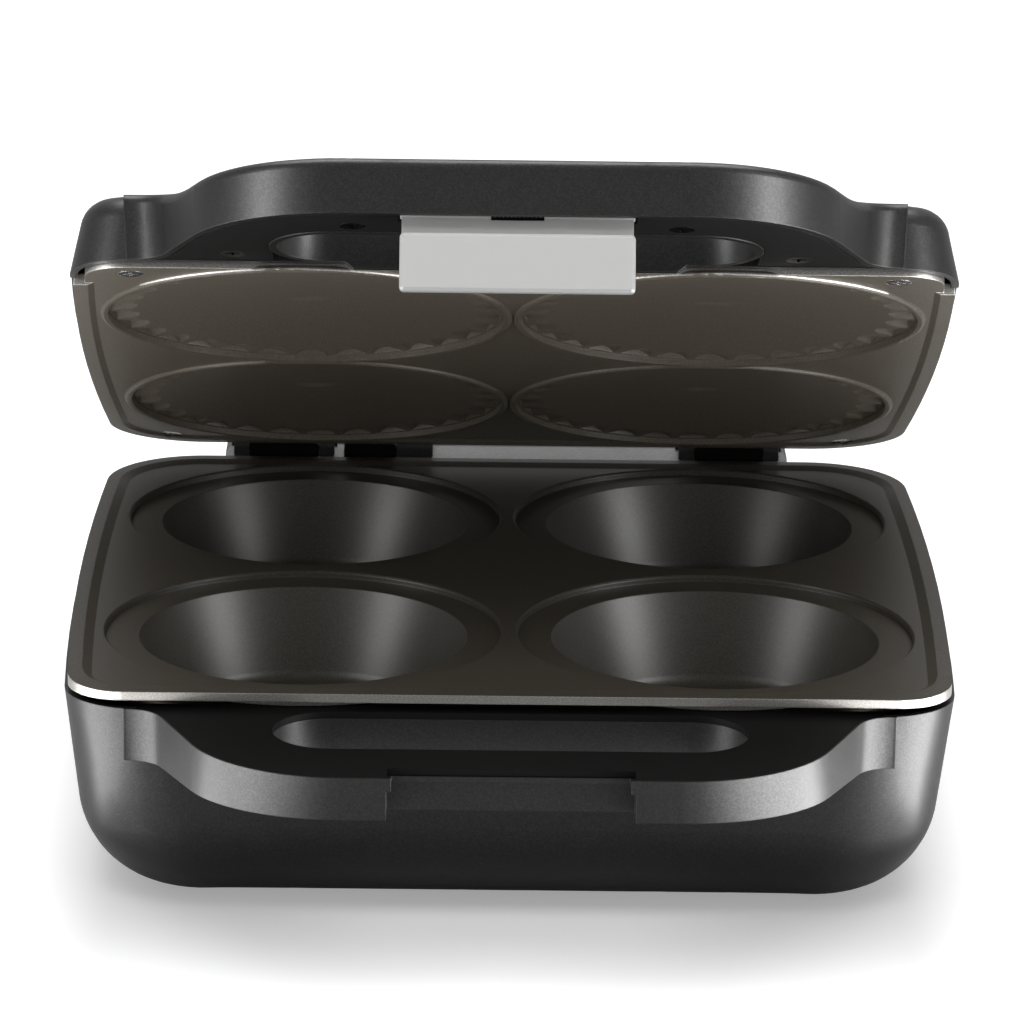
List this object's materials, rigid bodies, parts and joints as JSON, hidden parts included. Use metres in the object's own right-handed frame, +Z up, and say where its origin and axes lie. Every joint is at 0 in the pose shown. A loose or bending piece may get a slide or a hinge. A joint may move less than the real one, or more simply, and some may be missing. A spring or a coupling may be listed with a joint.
{
  "type": "electric pie maker",
  "caption": "Countertop electric pie maker with round wells in a non-stick plate, a domed hinged lid, loop handles front and a swinging latch tab.",
  "frame": {"origin": "on the table, under the middle of the base's footprint, handle included", "axes": "+X to the right of a user facing the handles, +Y from the handles towards the hinge, +Z up"},
  "size_m": [0.2882, 0.3695, 0.2505],
  "materials": {
    "charcoal_shell": "satin",
    "black_cover": "satin",
    "coated_plate": "matte",
    "pale_latch": "satin",
    "zinc_steel": "satin",
    "bright_steel": "satin",
    "black_steel": "satin",
    "element_sheath": "matte",
    "reflector_sheet": "satin",
    "white_nylon": "matte",
    "wire_sleeving": "matte",
    "foot_rubber": "matte",
    "gland_rubber": "matte",
    "bush_brass": "satin",
    "red_lens": "gloss",
    "green_lens": "gloss",
    "lamp_glass": "gloss"
  },
  "bodies": {
    "base": {"base_housing": "charcoal_shell", "base_handle_cover": "black_cover", "base_handle_screws": "zinc_steel", "lower_cooking_plate": "coated_plate", "lower_plate_screws": "zinc_steel", "lower_heating_element": "element_sheath", "lower_reflector": "reflector_sheet", "lower_reflector_screws": "zinc_steel", "thermostat": "reflector_sheet", "thermal_fuse": "bright_steel", "terminal_block": "white_nylon", "base_wiring": "wire_sleeving", "bottom_cover": "black_cover", "bottom_cover_screws": "zinc_steel", "rubber_feet": "foot_rubber", "cord_gland": "gland_rubber", "hinge_pins": "bright_steel", "lead_sleeve": "bright_steel"},
    "lid": {"lid_housing": "charcoal_shell", "lid_handle_cover": "black_cover", "lid_handle_screws": "black_steel", "upper_cooking_plate": "coated_plate", "upper_plate_screws": "bright_steel", "upper_heating_element": "element_sheath", "upper_reflector": "reflector_sheet", "upper_reflector_screws": "zinc_steel", "hinge_bushes": "bush_brass", "power_lens": "red_lens", "ready_lens": "green_lens", "lamp_holder": "white_nylon", "indicator_lamps": "lamp_glass", "lid_wiring": "wire_sleeving", "latch_pin": "bright_steel", "latch_spring": "bright_steel"},
    "latch": {"latch_tab": "pale_latch"}
  },
  "joints": [
    {"name": "lid_hinge", "type": "hinge", "parent": "base", "child": "lid", "pos_m": [0, 0.16303, 0.08025], "axis": [-1, 0, 0], "range_deg": [-26.8, 70.2]},
    {"name": "latch_hinge", "type": "hinge", "parent": "lid", "child": "latch", "pos_m": [0, -0.13747, 0.23591], "axis": [-1, 0, 0], "range_deg": [-7, 20], "stiffness_Nm_per_rad": 0.1}
  ]
}
